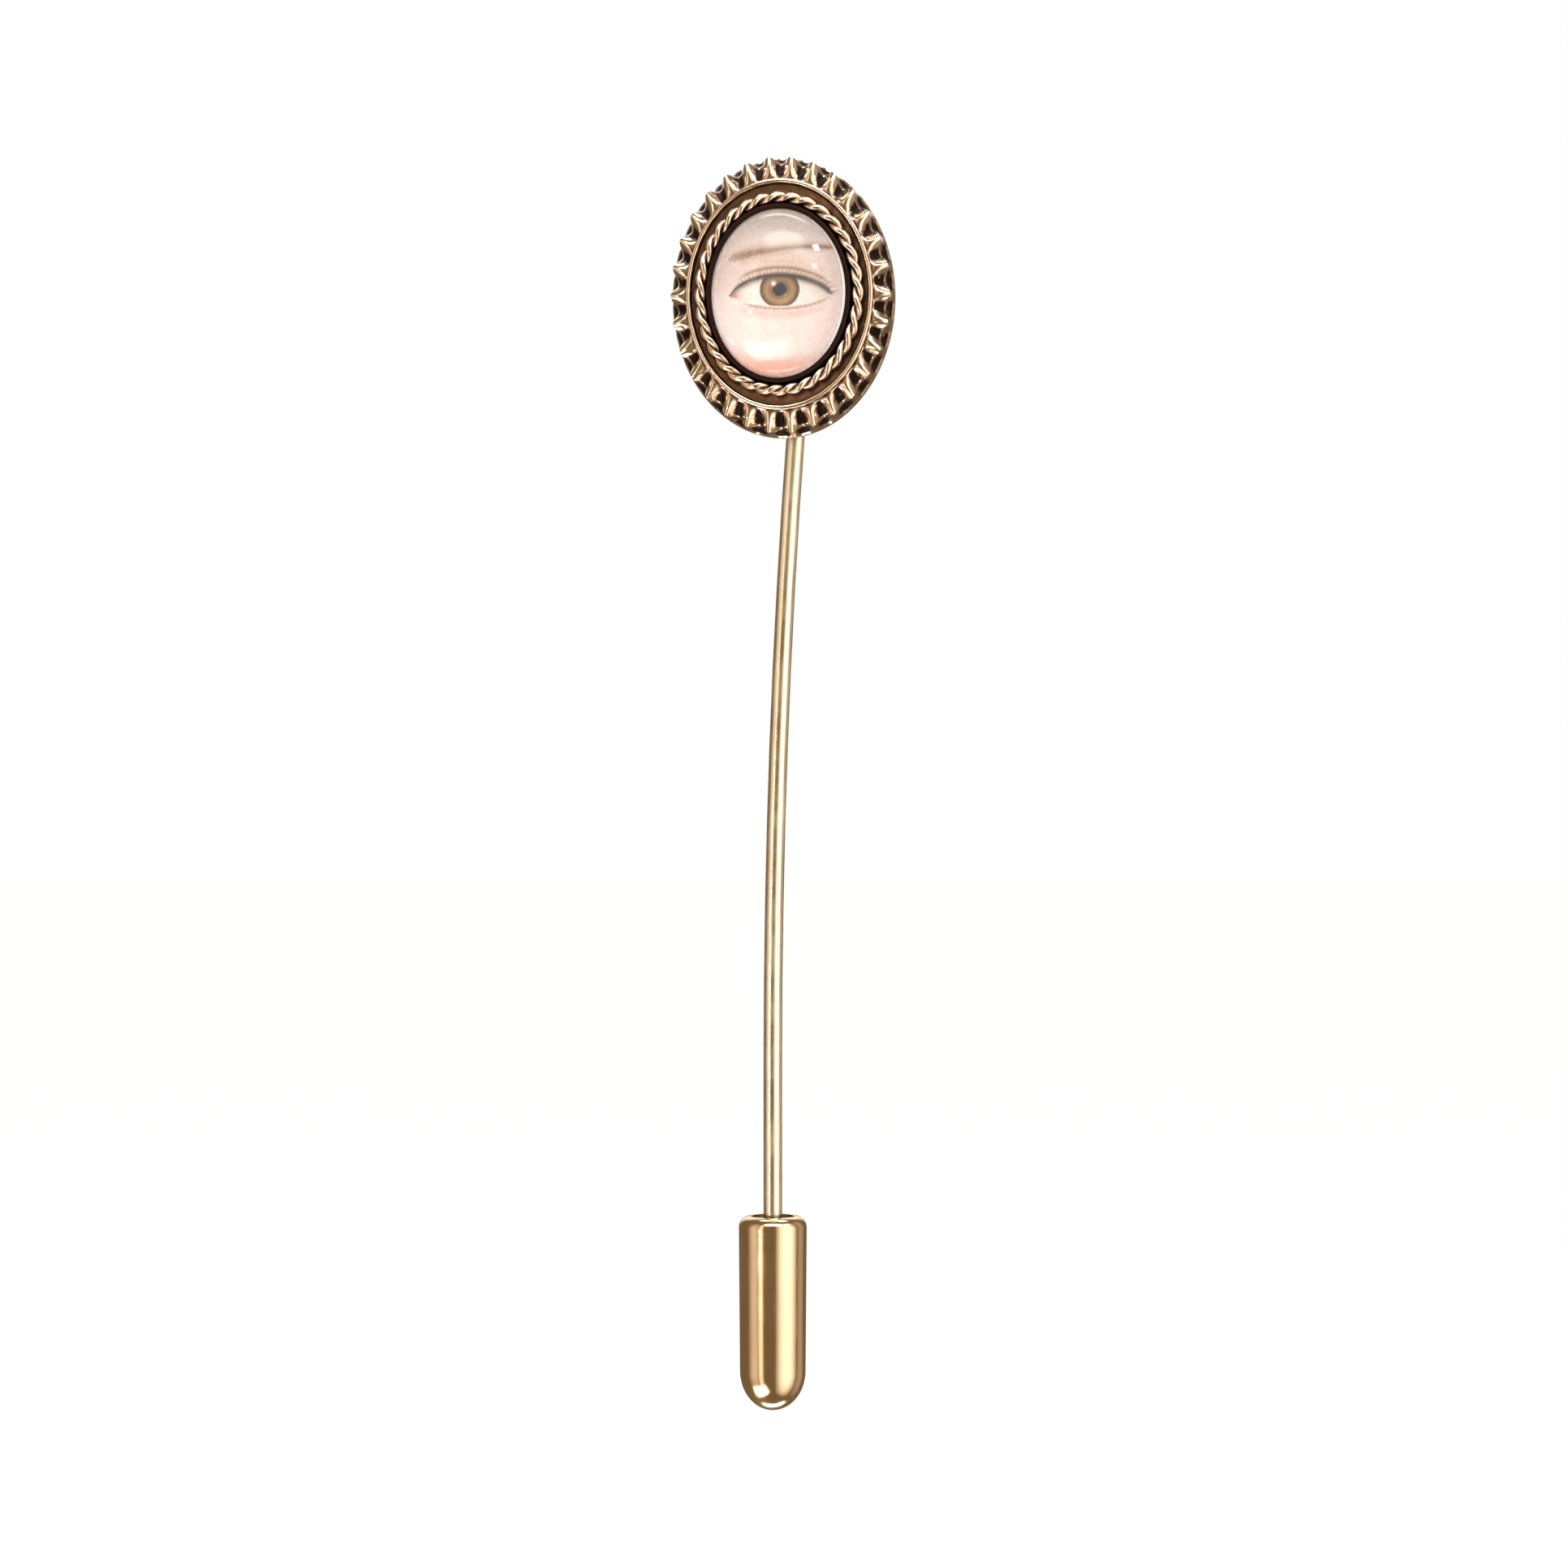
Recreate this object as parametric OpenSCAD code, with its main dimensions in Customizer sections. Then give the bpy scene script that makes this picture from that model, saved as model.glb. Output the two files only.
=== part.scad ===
// Stick pin for a hat or lapel: an oval head with a domed glass over a painted plaque,
// a gently bowed wire stem, and a slide-on bullet clutch that covers the point.
// +Z runs up the straight end of the stem, the head faces -Y, and the origin is the
// middle of the straight stretch of stem where cloth sits.

/* [Stem] */
// Diameter of the stem wire
stem_d = 1.0; // [0.8:0.05:1.3]
// Straight length of stem that shows above the clutch
straight_len = 8.2; // [6:0.1:14]
// Radius that the stem is bowed to
bow_r = 460; // [250:5:900]
// Height of the head's centre above the straight length
head_rise = 40.7; // [34:0.1:60]
// Radius of the stem where its slow taper meets the point
shank_end_r = 0.44; // [0.36:0.01:0.48]
// How far inside the clutch's mouth the slow taper starts
taper_inset = 0.2; // [0.1:0.05:0.3]
// Length of the sharp point
point_len = 2.6; // [2:0.1:3]
// Radius left at the tip of the point
tip_r = 0.06; // [0.04:0.01:0.12]

/* [Stem fixing] */
// Wall of the socket tube that holds the stem's top end
socket_wall = 0.3; // [0.2:0.05:0.5]
// Length of the socket tube
socket_len = 9; // [6:0.5:10]
// Thickness of the socket's closed end
socket_floor = 0.5; // [0.3:0.05:0.8]
// How far the tube's mouth sits inside the head's lower edge
socket_inset = 0.7; // [0.4:0.1:2]
// Radius of the round solder pad
pad_r = 3.6; // [3:0.1:4.2]
// Thickness of the solder pad
pad_t = 0.8; // [0.6:0.05:1.2]
// How deep the tube is let into the pad
pad_groove = 0.25; // [0.1:0.05:0.4]
// How far the head's centre sits to the left of the stem's line
head_offset = 1.0; // [0:0.05:1.5]

/* [Glass and plaque] */
// Width of the glass dome at its girdle
glass_w = 7.2; // [6:0.1:9]
// Height of the glass dome at its girdle
glass_h = 9.0; // [8:0.1:12]
// Depth of the straight girdle edge
girdle_t = 0.8; // [0.5:0.05:1.2]
// Rise of the dome above the girdle
dome_rise = 2.3; // [1.6:0.05:3]
// Thickness of the painted plaque
plaque_t = 0.45; // [0.3:0.05:0.7]
// Thickness of the packing card behind the plaque
card_t = 0.7; // [0.4:0.05:1.2]

/* [Setting] */
// Thickness of the oval back plate
plate_t = 0.5; // [0.35:0.05:0.8]
// Wall of the bezel round the glass
bezel_wall = 0.17; // [0.15:0.01:0.25]
// Height of the bezel's lip above the girdle
lip_rise = 0.4; // [0.3:0.05:0.6]
// How far the lip reaches in over the glass's edge
lip_lean = 0.08; // [0.04:0.01:0.1]
// Radius of each strand of the rope wire
strand_r = 0.165; // [0.12:0.01:0.22]
// Full twists of the rope wire round the oval
rope_twists = 16; // [12:1:22]
// Channel between rope and rim at the sides
channel_side = 0.22; // [0.15:0.05:0.6]
// Channel between rope and rim at the top and bottom
channel_end = 0.45; // [0.15:0.05:0.8]
// Thickness of the tray that the rope lies on
tray_t = 0.35; // [0.2:0.05:0.6]
// Thickness of the plain rim band
rim_wall = 0.24; // [0.18:0.02:0.36]
// Height of the rim band's edge above the tray
rim_rise = 0.36; // [0.2:0.02:0.6]

/* [Fluted collar] */
// Number of flutes round the collar
flutes = 30; // [20:1:40]
// How far the collar's foot flares out past its rim
foot_flare = 0.26; // [0:0.02:0.4]
// Width of the fluted skirt at the sides
skirt_side = 0.72; // [0.6:0.02:1.2]
// Width of the fluted skirt at the top and bottom
skirt_end = 1.06; // [0.8:0.02:1.6]
// Height of the skirt's rim above the back plate
skirt_rim_h = 1.15; // [0.9:0.05:1.5]
// Sheet thickness of the collar
collar_t = 0.26; // [0.2:0.02:0.4]
// Half the height of the waves at the rim
wave_h = 0.42; // [0.2:0.02:0.5]
// Half the width of the waves at the rim
wave_r = 0.14; // [0.04:0.01:0.18]

/* [Clutch] */
// Outside diameter of the clutch at its mouth
clutch_d = 3.64; // [3.4:0.02:4.6]
// Length of the clutch
clutch_len = 10.4; // [9.6:0.1:13]
// How much the barrel narrows towards the nose, on the radius
clutch_taper = 0.06; // [0:0.01:0.12]
// Wall of the drawn shell
shell_wall = 0.3; // [0.2:0.02:0.36]
// Length of the rounded nose
nose_len = 2.1; // [1.6:0.05:2.6]
// Radius of the rolled shoulder at the mouth
shoulder_r = 0.62; // [0.5:0.02:0.8]
// Radius of the open mouth
mouth_r = 1.14; // [0.95:0.02:1.2]
// Thickness of the guide washer
washer_t = 0.4; // [0.3:0.05:0.6]
// Thickness of the grip spring's metal
grip_t = 0.16; // [0.12:0.01:0.2]
// Length of the grip spring
grip_len = 3.4; // [3:0.1:3.6]
// Thickness of the grip spring's flange
flange_t = 0.35; // [0.25:0.05:0.5]
// Length of the straight tips of the grip spring's fingers
finger_tip_len = 0.75; // [0.5:0.05:1]
// Number of fingers on the grip spring
grip_fingers = 4; // [3:1:6]
// Width of the slots between the fingers
slot_w = 0.3; // [0.2:0.05:0.45]
// Wall of the spacer sleeve
sleeve_wall = 0.25; // [0.2:0.01:0.35]
// Thickness of the nylon cushion under the point
cushion_t = 1.0; // [0.7:0.05:1.4]
// Depth of the pit in the cushion
pit_depth = 0.5; // [0.2:0.05:0.6]

/* [Clearances] */
// Gap between pieces that are seated or soldered together
seat_gap = 0.02; // [0.01:0.005:0.05]
// Gap round the glass inside its bezel
glass_gap = 0.03; // [0.02:0.01:0.06]
// Running gap round the stem inside the clutch
run_gap = 0.05; // [0.03:0.01:0.09]
// Gap between pieces that turn against each other in the clutch
turn_gap = 0.05; // [0.03:0.01:0.08]
// Gap under the tip of the point
tip_gap = 0.3; // [0.1:0.05:0.6]

/* [Hidden] */
$fn = 96;
// How far a cutting shape runs past the piece it cuts
cut = 1;
stem_r = stem_d / 2;

// Heights along the stem, from the origin in the middle of the straight length
mouth_z = -straight_len / 2;
bow_z = straight_len / 2;
head_z = bow_z + head_rise;

// Ovals, as [half width, half height], each worked out from the one inside it
function grow(oval, by) = [oval[0] + by, oval[1] + by];
glass_o = [glass_w / 2, glass_h / 2];
bezel_in = grow(glass_o, glass_gap);
bezel_out = grow(bezel_in, bezel_wall);
lip_hole = grow(bezel_in, -lip_lean);
dome_o = grow(lip_hole, -glass_gap);
rope_r = 2 * strand_r + seat_gap / 2;
rope_mid = grow(bezel_out, seat_gap + rope_r);
rim_in = rope_mid + [rope_r, rope_r] + [channel_side, channel_end];
rim_out = grow(rim_in, rim_wall);
skirt_in = grow(rim_out, seat_gap);
skirt_out = rim_out + [skirt_side, skirt_end];
plate_o = grow(skirt_out, foot_flare);

// The socket is straight and the wire in it is bowed, so its bore has room for the bow's sag.
bow_sag = socket_len * socket_len / (8 * bow_r);
socket_bore_r = stem_r + seat_gap / 2 + bow_sag;
socket_r = socket_bore_r + socket_wall;

// Heights above the stem's axis, towards the face
pad_back = socket_r - pad_groove;
pad_front = pad_back + pad_t;
plate_front = pad_front + plate_t;
card_front = plate_front + card_t;
plaque_front = card_front + plaque_t;
girdle_top = plaque_front + seat_gap + girdle_t;
lip_top = girdle_top + lip_rise;
rope_h = lip_top - rope_r - seat_gap;
tray_front = rope_h - rope_r - seat_gap;
rim_top = tray_front + rim_rise;
skirt_top = tray_front;
skirt_foot = plate_front;
skirt_rim = plate_front + skirt_rim_h;

// The bow carries on up to the stem's top end, inside the socket.
socket_mid_rise = head_rise - plate_o[1] + socket_inset + socket_len / 2;
socket_angle = asin(socket_mid_rise / bow_r);
// The bowed wire's end face is a little out of square with the socket's floor.
end_tilt = stem_r * socket_len / 2 / bow_r;
stem_end_rise = socket_mid_rise
    + (socket_len / 2 - socket_floor - seat_gap - end_tilt) * cos(socket_angle);
bow_angle = asin(stem_end_rise / bow_r);
head_x = bow_r * (1 - cos(asin(head_rise / bow_r))) - head_offset;

// The clutch, measured down from its mouth
clutch_r = clutch_d / 2;
bore_r = clutch_r - clutch_taper - shell_wall;
lining_r = bore_r - seat_gap;
washer_top = shell_wall + seat_gap;
grip_top = washer_top + washer_t + turn_gap;
sleeve_top = grip_top + flange_t + turn_gap;
cushion_top = clutch_len - nose_len - cushion_t;
tip_depth = cushion_top - tip_gap;
shank_len = tip_depth - taper_inset - point_len;

// Radius of the slowly tapered shank at a depth below the clutch's mouth
function shank_r(depth) =
    stem_r - (stem_r - shank_end_r) * (depth - taper_inset) / shank_len;

// ---- helpers ----

// Places a head piece: local x is across, local y is up, and local z is towards the face.
module on_head() {
    translate([head_x, 0, head_z]) rotate([90, 0, 0]) children();
}

// Places a piece about the middle of the stretch of stem that is behind the head.
module on_socket() {
    translate([bow_r * (1 - cos(socket_angle)), 0, bow_z + socket_mid_rise])
        rotate([0, socket_angle, 0]) children();
}

// Places a piece that is drawn downwards from the clutch's mouth.
module in_clutch() {
    translate([0, 0, mouth_z]) rotate([180, 0, 0]) children();
}

// An upright oval prism from one height to another.
module oval(o, low, high) {
    translate([0, 0, low]) linear_extrude(height = high - low) scale(o) circle(r = 1);
}

module oval_ring(outer, inner, low, high) {
    difference() {
        oval(outer, low, high);
        oval(inner, low - cut, high + cut);
    }
}

function unit(v) = v / norm(v);

// A closed tube's faces: sections of n points each, joined round and then to the first one.
function loop_faces(sections, n) = [
    for (i = [0 : sections - 1], k = [0 : n - 1])
        let (a = i * n + k,
             b = i * n + (k + 1) % n,
             c = ((i + 1) % sections) * n + (k + 1) % n,
             d = ((i + 1) % sections) * n + k)
        each [[a, b, c], [a, c, d]]
];

// ---- stem and its fixing ----

// The straight wire with its tapered shank and point is one turned outline.
module stem() {
    outline = [
        [0, mouth_z - tip_depth],
        [tip_r, mouth_z - tip_depth],
        [shank_end_r, mouth_z - tip_depth + point_len],
        [stem_r, mouth_z - taper_inset],
        [stem_r, bow_z],
        [0, bow_z]
    ];
    color("goldenrod") {
        rotate_extrude() polygon(outline);
        translate([bow_r, 0, bow_z]) rotate([90, 0, 0]) mirror([1, 0, 0])
            rotate_extrude(angle = bow_angle) translate([bow_r, 0]) circle(r = stem_r);
    }
}

module stem_socket() {
    color("peru") on_socket() difference() {
        cylinder(h = socket_len, r = socket_r, center = true);
        translate([0, 0, -socket_len / 2 - cut])
            cylinder(h = socket_len + cut - socket_floor, r = socket_bore_r);
    }
}

module solder_pad() {
    color("peru") difference() {
        on_head() translate([0, 0, pad_back]) cylinder(h = pad_t - seat_gap, r = pad_r);
        on_socket() cylinder(h = socket_len * 2, r = socket_r + seat_gap / 2, center = true);
    }
}

// ---- setting ----

module back_plate() {
    color("darkgoldenrod") on_head() oval(plate_o, pad_front, plate_front - seat_gap);
}

// How much narrower than the valleys the ridges are; 1 makes them alike
ridge_power = 1;
// How far the skirt's slope dips beside the rim band, and bulges before its own rim
slope_dip = 0.02;
slope_bulge = 0.08;
// Sections of the collar's sheet in one flute
flute_columns = 6;

// Waves from -1 in a valley to 1 on a ridge.
function wave(t) = 2 * pow((1 + cos(flutes * t)) / 2, ridge_power) - 1;

// The skirt's outer outline, from the top inner edge, over the rim and down to the foot, as
// [share of the skirt's width, height, share of the wave, share of the foot's flare]
skirt_outline = [
    [0, skirt_top, 0, 0],
    [0.3, skirt_top - slope_dip, 0.25, 0],
    [0.72, (skirt_top + skirt_rim) / 2 + slope_bulge, 0.75, 0],
    [1, skirt_rim, 1, 0],
    [1, (skirt_rim + skirt_foot) / 2, 0.6, 0.45],
    [1, skirt_foot, 0, 1]
];

// The collar's i-th outline point at angle t, moved in through the sheet by inset and
// down by drop.
function skirt_point(t, i, inset, drop) =
    let (p = skirt_outline[i],
         o = skirt_in + p[0] * (skirt_out - skirt_in),
         r = foot_flare * p[3] + wave(t) * wave_r * p[2] - inset)
    [(o[0] + r) * cos(t), (o[1] + r) * sin(t), p[1] + wave(t) * wave_h * p[2] - drop];

// One section through the sheet: the outline, then back up inside it, where the wall is
// moved in, the rim's corner is moved in and down, and the slope is moved down.
function skirt_section(t) = concat(
    [for (i = [0 : 5]) skirt_point(t, i, 0, 0)],
    [for (i = [5, 4]) skirt_point(t, i, collar_t, 0)],
    [skirt_point(t, 3, collar_t, collar_t / 2)],
    [for (i = [2, 1, 0]) skirt_point(t, i, 0, collar_t)]
);

module fluted_collar() {
    columns = flutes * flute_columns;
    points = [for (c = [0 : columns - 1]) each skirt_section(360 * c / columns)];
    corners = 2 * len(skirt_outline);
    color("darkgoldenrod") on_head() polyhedron(points = points, faces = loop_faces(columns, corners));
}

module rim_band() {
    color("goldenrod") on_head() oval_ring(rim_out, rim_in, plate_front, rim_top);
}

module rope_tray() {
    color("saddlebrown") on_head()
        oval_ring(grow(rim_in, -seat_gap), grow(bezel_out, seat_gap), tray_front - tray_t, tray_front);
}

// Sections of a strand in one twist, and sides of each section
twist_sections = 10;
strand_sides = 8;
// The small angle either side of a section that its direction is taken over
look_ahead = 0.2;

// The rope's own line is an oval, and each strand winds round it at its own radius.
function rope_line(t) = [rope_mid[0] * cos(t), rope_mid[1] * sin(t), rope_h];

function strand_point(t, start) =
    let (out = unit([rope_mid[1] * cos(t), rope_mid[0] * sin(t), 0]),
         turn = rope_twists * t + start,
         wind_r = strand_r + seat_gap / 2)
    rope_line(t) + wind_r * (cos(turn) * out + sin(turn) * [0, 0, 1]);

function strand_section(t, start) =
    let (p = strand_point(t, start),
         along = unit(strand_point(t + look_ahead, start) - strand_point(t - look_ahead, start)),
         spoke = p - rope_line(t),
         away = unit(spoke - (spoke * along) * along),
         side = cross(along, away))
    [for (k = [0 : strand_sides - 1])
        let (a = 360 * k / strand_sides) p + strand_r * (cos(a) * away + sin(a) * side)];

module rope_strand(start) {
    sections = rope_twists * twist_sections;
    points = [for (i = [0 : sections - 1]) each strand_section(360 * i / sections, start)];
    color("goldenrod") on_head() polyhedron(points = points, faces = loop_faces(sections, strand_sides));
}

module rope_strand_a() {
    rope_strand(0);
}

module rope_strand_b() {
    rope_strand(180);
}

module bezel() {
    color("saddlebrown") on_head() difference() {
        oval(bezel_out, plate_front, lip_top);
        oval(bezel_in, plate_front - cut, girdle_top + seat_gap);
        oval(lip_hole, girdle_top - cut, lip_top + cut);
    }
}

// ---- glass and plaque ----

module packing_card() {
    color("wheat") on_head() oval(glass_o, plate_front, card_front);
}

module painted_plaque() {
    color("mistyrose") on_head() oval(glass_o, card_front, plaque_front);
}

// The dome is a little smaller than its girdle, which leaves a ledge under the bezel's lip.
module glass_dome() {
    color("lightcyan", 0.5) on_head() {
        oval(glass_o, plaque_front + seat_gap, girdle_top);
        translate([0, 0, girdle_top]) intersection() {
            scale([dome_o[0], dome_o[1], dome_rise]) sphere(r = 1);
            translate([-glass_w, -glass_h, 0]) cube([2 * glass_w, 2 * glass_h, 2 * dome_rise]);
        }
    }
}

// ---- clutch, drawn with its mouth at z = 0 and its nose towards +z ----

// Straight steps in each rounded corner of the shell
arc_steps = 14;

// Part of an ellipse about a centre, from one angle to another.
function arc(centre, rx, ry, from, to, steps) =
    [for (i = [0 : steps]) let (a = from + (to - from) * i / steps) centre + [rx * cos(a), ry * sin(a)]];

module clutch_shell() {
    nose_r = clutch_r - clutch_taper;
    nose_start = clutch_len - nose_len;
    outside = concat(
        [[mouth_r, 0]],
        arc([clutch_r - shoulder_r, shoulder_r], shoulder_r, shoulder_r, -90, 0, arc_steps),
        arc([0, nose_start], nose_r, nose_len, 0, 90, arc_steps)
    );
    inside = concat(
        arc([0, nose_start], bore_r, nose_len - shell_wall, 90, 0, arc_steps),
        [[bore_r, shell_wall], [mouth_r, shell_wall]]
    );
    color("goldenrod") in_clutch() rotate_extrude() polygon(concat(outside, inside));
}

module guide_washer() {
    color("saddlebrown") in_clutch() translate([0, 0, washer_top]) difference() {
        cylinder(h = washer_t, r = lining_r);
        translate([0, 0, -cut]) cylinder(h = washer_t + 2 * cut, r = stem_r + run_gap);
    }
}

// A flanged cone of spring metal, slit into fingers that close in round the stem.
module grip_spring() {
    throat = grip_len - finger_tip_len;
    grip_r = shank_r(grip_top + throat) + run_gap / 2;
    cone_r = lining_r - sleeve_wall - turn_gap - grip_t;
    flange_r = bore_r - turn_gap;
    outline = [
        [cone_r, 0], [flange_r, 0], [flange_r, flange_t], [cone_r + grip_t, flange_t],
        [grip_r + grip_t, throat], [grip_r + grip_t, grip_len], [grip_r, grip_len],
        [grip_r, throat], [cone_r, flange_t]
    ];
    color("silver") in_clutch() translate([0, 0, grip_top]) difference() {
        rotate_extrude() polygon(outline);
        for (i = [0 : grip_fingers - 1])
            rotate([0, 0, i * 360 / grip_fingers])
                translate([0, -slot_w / 2, flange_t + grip_t]) cube([flange_r, slot_w, grip_len]);
    }
}

module spacer_sleeve() {
    color("burlywood") in_clutch() translate([0, 0, sleeve_top]) difference() {
        cylinder(h = cushion_top - sleeve_top - seat_gap, r = lining_r);
        translate([0, 0, -cut]) cylinder(h = clutch_len, r = lining_r - sleeve_wall);
    }
}

// A nylon plug in the nose, with a cone-shaped pit under the point.
module tip_cushion() {
    color("ivory") in_clutch() translate([0, 0, cushion_top]) difference() {
        cylinder(h = cushion_t, r = lining_r);
        translate([0, 0, -seat_gap]) cylinder(h = pit_depth, r1 = stem_r, r2 = tip_r);
    }
}

stem();
stem_socket();
solder_pad();
back_plate();
fluted_collar();
rim_band();
rope_tray();
rope_strand_a();
rope_strand_b();
bezel();
packing_card();
painted_plaque();
glass_dome();
clutch_shell();
guide_washer();
grip_spring();
spacer_sleeve();
tip_cushion();
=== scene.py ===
# %% [markdown]
# # A stick pin with an oval head
#
# The pin is a bowed wire with an oval jewel on top and a bullet clutch over its point. The
# frame that is loaded here already holds every piece at its real size, so this lesson is
# about the looks: soft edges on turned metal, a pie-crust collar, a twisted rope wire, clear
# glass and a small painting under it. All lengths are in metres, and MM turns millimetres
# into metres.

# %% Load the frame
import math

import bmesh
import bpy
import numpy as np
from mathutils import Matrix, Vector


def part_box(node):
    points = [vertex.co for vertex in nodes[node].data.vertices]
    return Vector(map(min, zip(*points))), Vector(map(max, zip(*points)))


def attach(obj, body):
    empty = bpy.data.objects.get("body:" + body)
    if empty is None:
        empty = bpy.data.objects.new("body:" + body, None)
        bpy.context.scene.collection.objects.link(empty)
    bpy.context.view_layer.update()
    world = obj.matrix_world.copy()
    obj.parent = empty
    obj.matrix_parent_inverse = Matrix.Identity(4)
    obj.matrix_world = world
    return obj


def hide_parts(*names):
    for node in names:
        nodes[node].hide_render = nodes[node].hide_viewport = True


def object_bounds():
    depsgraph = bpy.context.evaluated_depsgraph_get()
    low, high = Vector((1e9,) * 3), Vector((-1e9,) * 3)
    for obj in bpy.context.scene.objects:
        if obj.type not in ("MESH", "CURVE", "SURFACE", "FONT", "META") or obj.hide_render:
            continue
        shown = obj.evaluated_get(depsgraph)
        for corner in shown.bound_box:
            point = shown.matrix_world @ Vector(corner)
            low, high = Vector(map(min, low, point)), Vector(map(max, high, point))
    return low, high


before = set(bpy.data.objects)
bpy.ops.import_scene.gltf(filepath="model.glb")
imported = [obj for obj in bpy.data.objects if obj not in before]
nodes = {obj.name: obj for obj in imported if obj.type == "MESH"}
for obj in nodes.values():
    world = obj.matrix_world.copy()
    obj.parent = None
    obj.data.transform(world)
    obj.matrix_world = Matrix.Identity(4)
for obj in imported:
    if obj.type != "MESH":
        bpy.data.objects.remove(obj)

MM = 0.001
cad_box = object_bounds()
print("CAD box in mm:", [[round(v / MM, 2) for v in corner] for corner in cad_box])

# %% [markdown]
# The head's pieces are ovals on one centre that all face the same way. Reading that centre
# and each oval's half width, half height and height above the stem from the frame keeps
# every new piece where the frame has it.

# %% Read the head's ovals
rim_low, rim_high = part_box("rim_band")
head_x = (rim_low[0] + rim_high[0]) / 2
head_z = (rim_low[2] + rim_high[2]) / 2


def oval_of(node):
    """Half width and half height of a head piece."""
    low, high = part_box(node)
    return np.array([(high[0] - low[0]) / 2, (high[2] - low[2]) / 2])


def heights_of(node):
    """Back and front of a head piece, as heights above the stem's axis."""
    low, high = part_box(node)
    return -high[1], -low[1]


print("head centre in mm:", round(head_x / MM, 2), round(head_z / MM, 2))
for name in ("back_plate", "rim_band", "bezel", "glass_dome"):
    heights = np.array(heights_of(name))
    print(name, "oval", np.round(oval_of(name) / MM, 2), "heights", np.round(heights / MM, 2))

# %% [markdown]
# Almost every piece of a pin is made on a lathe or formed round a mandrel, so one way of
# working suits them all. A disc or an open circle is the first ring, and it is extruded,
# moved and resized to the next ring again and again, as a potter raises a wall. A disc keeps
# a lid at both ends, so it gives a solid. An open circle gives a sheet, and where its last
# ring meets the first one it gives a hoop. Points that land on each other are merged.

# %% A helper that raises a form ring by ring
MERGE = 2e-7


def select_only(piece):
    bpy.ops.object.select_all(action="DESELECT")
    piece.select_set(True)
    bpy.context.view_layer.objects.active = piece


def raise_rings(name, rings, segments=128, kind="solid"):
    """Rings are [half width, half height, height], and the form is built round the Z axis."""
    bpy.ops.object.select_all(action="DESELECT")
    first = rings[0]
    lid = "TRIFAN" if kind == "solid" else "NOTHING"
    bpy.ops.mesh.primitive_circle_add(vertices=segments, radius=first[0], fill_type=lid, location=(0, 0, 0))
    piece = bpy.context.object
    piece.name = name
    bpy.ops.object.mode_set(mode="EDIT")
    bpy.ops.mesh.select_all(action="SELECT")
    bpy.ops.transform.resize(value=(1, first[1] / first[0], 1), center_override=(0, 0, 0))
    bpy.ops.transform.translate(value=(0, 0, first[2]))
    for last, ring in zip(rings, rings[1:] + ([first] if kind == "hoop" else [])):
        bpy.ops.mesh.extrude_region_move(TRANSFORM_OT_translate={"value": (0, 0, ring[2] - last[2])})
        growth = (ring[0] / last[0], ring[1] / last[1], 1)
        bpy.ops.transform.resize(value=growth, center_override=(0, 0, ring[2]))
    bpy.ops.mesh.select_all(action="SELECT")
    bpy.ops.mesh.remove_doubles(threshold=MERGE)
    bpy.ops.mesh.normals_make_consistent(inside=False)
    bpy.ops.object.mode_set(mode="OBJECT")
    return piece


def settle(piece, location, turn=(0, 0, 0)):
    """Moves a finished form to its place and writes that place into its mesh."""
    select_only(piece)
    piece.location = location
    piece.rotation_euler = turn
    bpy.ops.object.transform_apply(location=True, rotation=True, scale=True)


def on_head(piece):
    """The form's Z axis becomes the direction that the head faces."""
    settle(piece, (head_x, 0, head_z), (math.pi / 2, 0, 0))


def soften(piece, width, angle=35, steps=3):
    """Rounds a piece's sharp edges and shades the rest smooth, as polishing does."""
    select_only(piece)
    edge = piece.modifiers.new("soft_edges", "BEVEL")
    edge.width = width
    edge.segments = steps
    edge.limit_method = "ANGLE"
    edge.angle_limit = math.radians(angle)
    edge.harden_normals = False
    bpy.ops.object.modifier_apply(modifier=edge.name)
    bpy.ops.object.shade_smooth_by_angle(angle=math.radians(angle))


def stand_for(piece, node, body):
    """Puts a new piece in its CAD node's stead."""
    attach(piece, body)
    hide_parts(node)
    print(node, "rebuilt with", len(piece.data.polygons), "faces")
    return piece

# %% [markdown]
# ## Finishes
#
# Gold looks rich because of what it reflects and because it is never even. Each metal below
# starts from one colour, then a slow noise shifts it, a fine stretched noise scratches it,
# and a second noise makes some patches duller. Old jewellery is dark where a cloth can't
# reach, so the aged metals also mix in a brown oxide wherever the surface is shut in.

# %% Small helpers for node trees


def material(name):
    made = bpy.data.materials.new(name)
    made.use_nodes = True
    tree = made.node_tree
    return made, tree, tree.nodes["Principled BSDF"]


def feed(tree, socket, value):
    """Links another node's output to a socket, or sets the socket to a plain value."""
    if isinstance(value, bpy.types.NodeSocket):
        tree.links.new(value, socket)
    else:
        socket.default_value = value


def node(tree, kind, inputs=(), **settings):
    """Adds a node, sets its properties, and feeds its inputs by name or number."""
    made = tree.nodes.new(kind)
    for key, value in settings.items():
        setattr(made, key, value)
    for key, value in dict(inputs).items():
        feed(tree, made.inputs[key], value)
    return made


def stretched(tree, scale):
    """Object coordinates, scaled in each direction."""
    place = node(tree, "ShaderNodeTexCoord")
    made = node(tree, "ShaderNodeMapping", {"Vector": place.outputs["Object"], "Scale": scale})
    return made.outputs["Vector"]


def noise(tree, scale, size=1.0, detail=4.0, roughness=0.55):
    """Noise from 0 to 1. Scale is a number of waves in a metre, in each direction."""
    made = node(tree, "ShaderNodeTexNoise",
                {"Vector": stretched(tree, scale), "Scale": size, "Detail": detail, "Roughness": roughness})
    return made.outputs["Fac"]


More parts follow.
